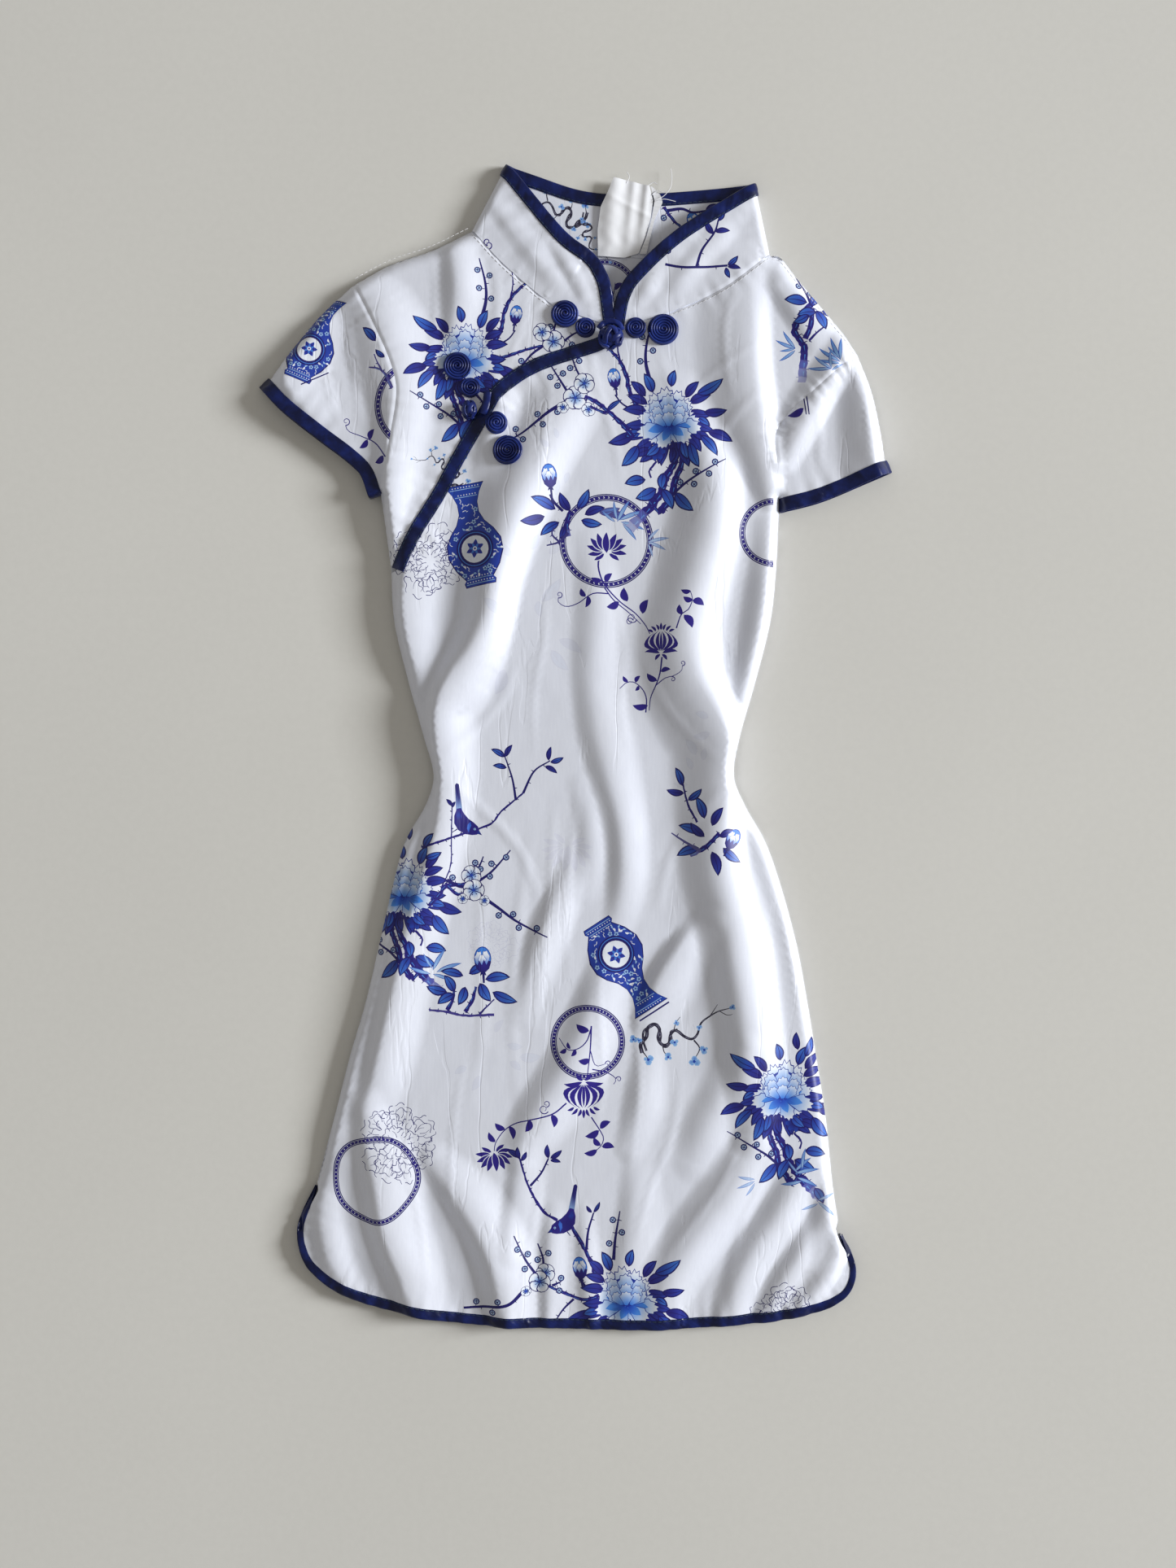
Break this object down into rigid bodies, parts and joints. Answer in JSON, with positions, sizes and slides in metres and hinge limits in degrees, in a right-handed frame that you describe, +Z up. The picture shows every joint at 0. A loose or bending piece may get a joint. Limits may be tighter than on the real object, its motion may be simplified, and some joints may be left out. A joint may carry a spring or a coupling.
{
  "type": "cheongsam top",
  "caption": "Short-sleeved cheongsam top of printed satin laid flat, with standing collar, slanting opening, coiled frog fastenings, bound hem and small side slits",
  "frame": {"origin": "middle of the garment's box, on the surface that it lies on", "axes": "+Z up out of the surface through the front, +Y along the garment from the hem to the collar, +X to the viewer's right (the wearer's left)"},
  "size_m": [0.3464, 0.6476, 0.0183],
  "materials": {
    "printed_satin": "white polyester satin with a blue and violet printed pattern",
    "plain_satin": "plain white satin and woven tape",
    "navy_binding": "navy satin bias binding",
    "frog_cord": "navy satin rouleau cord"
  },
  "bodies": {
    "root": {"back_left": "printed_satin", "back_right": "printed_satin", "front_panel": "printed_satin", "front_yoke": "printed_satin", "sleeve_left": "printed_satin", "sleeve_right": "printed_satin", "collar_left": "printed_satin", "collar_right": "printed_satin", "zip_facing": "plain_satin", "zip_tape": "plain_satin", "collar_binding_left": "navy_binding", "collar_binding_right": "navy_binding", "cuff_binding_left": "navy_binding", "cuff_binding_right": "navy_binding", "opening_binding": "navy_binding", "hem_binding_front": "navy_binding", "hem_binding_back": "navy_binding", "neck_frog_coil_outer_left": "frog_cord", "neck_frog_coil_inner_left": "frog_cord", "neck_frog_coil_inner_right": "frog_cord", "neck_frog_coil_outer_right": "frog_cord", "neck_frog_knot": "frog_cord", "neck_frog_loop": "frog_cord", "chest_frog_coil_outer_top": "frog_cord", "chest_frog_coil_inner_top": "frog_cord", "chest_frog_coil_inner_low": "frog_cord", "chest_frog_coil_outer_low": "frog_cord", "chest_frog_knot": "frog_cord", "chest_frog_loop": "frog_cord"}
  },
  "joints": []
}
